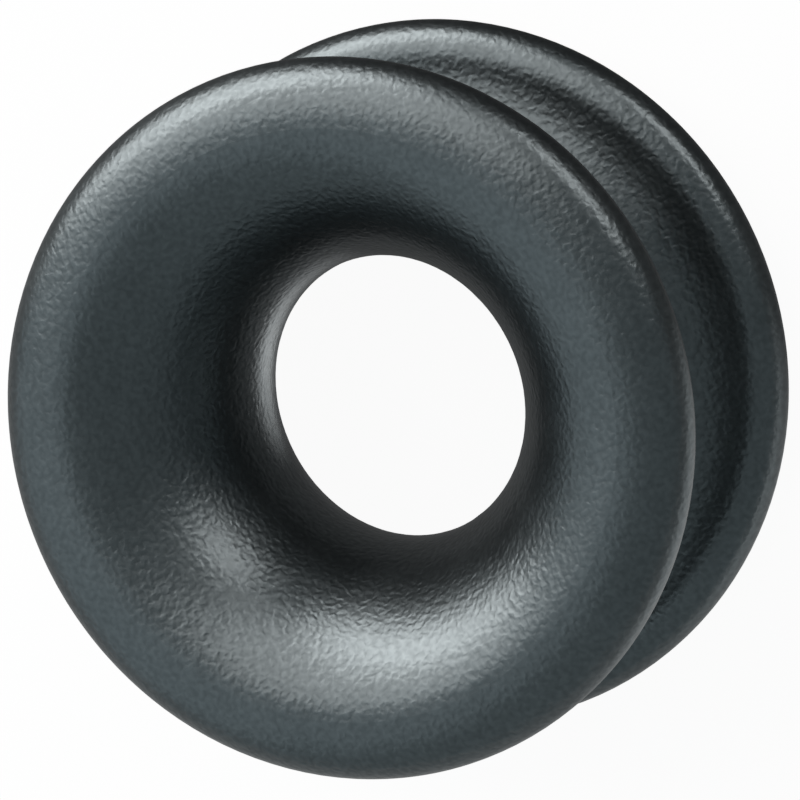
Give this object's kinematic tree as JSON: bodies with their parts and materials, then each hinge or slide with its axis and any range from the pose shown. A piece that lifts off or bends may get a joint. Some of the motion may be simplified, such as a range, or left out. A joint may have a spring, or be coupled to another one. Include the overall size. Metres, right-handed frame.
{
  "type": "low friction ring",
  "caption": "Round one-piece ring with a flared bore for a sliding line and a half-round outer groove for the rope loop that holds it.",
  "frame": {"origin": "centre of the bore, halfway between the two faces", "axes": "+Z along the bore; the ring is the same all round, so X and Y are free in its middle plane"},
  "size_m": [0.05, 0.05, 0.026],
  "materials": {
    "anodised_surface": "satin charcoal hard anodising with a fine leathery grain"
  },
  "bodies": {
    "root": {"ring": "anodised_surface"}
  },
  "joints": []
}
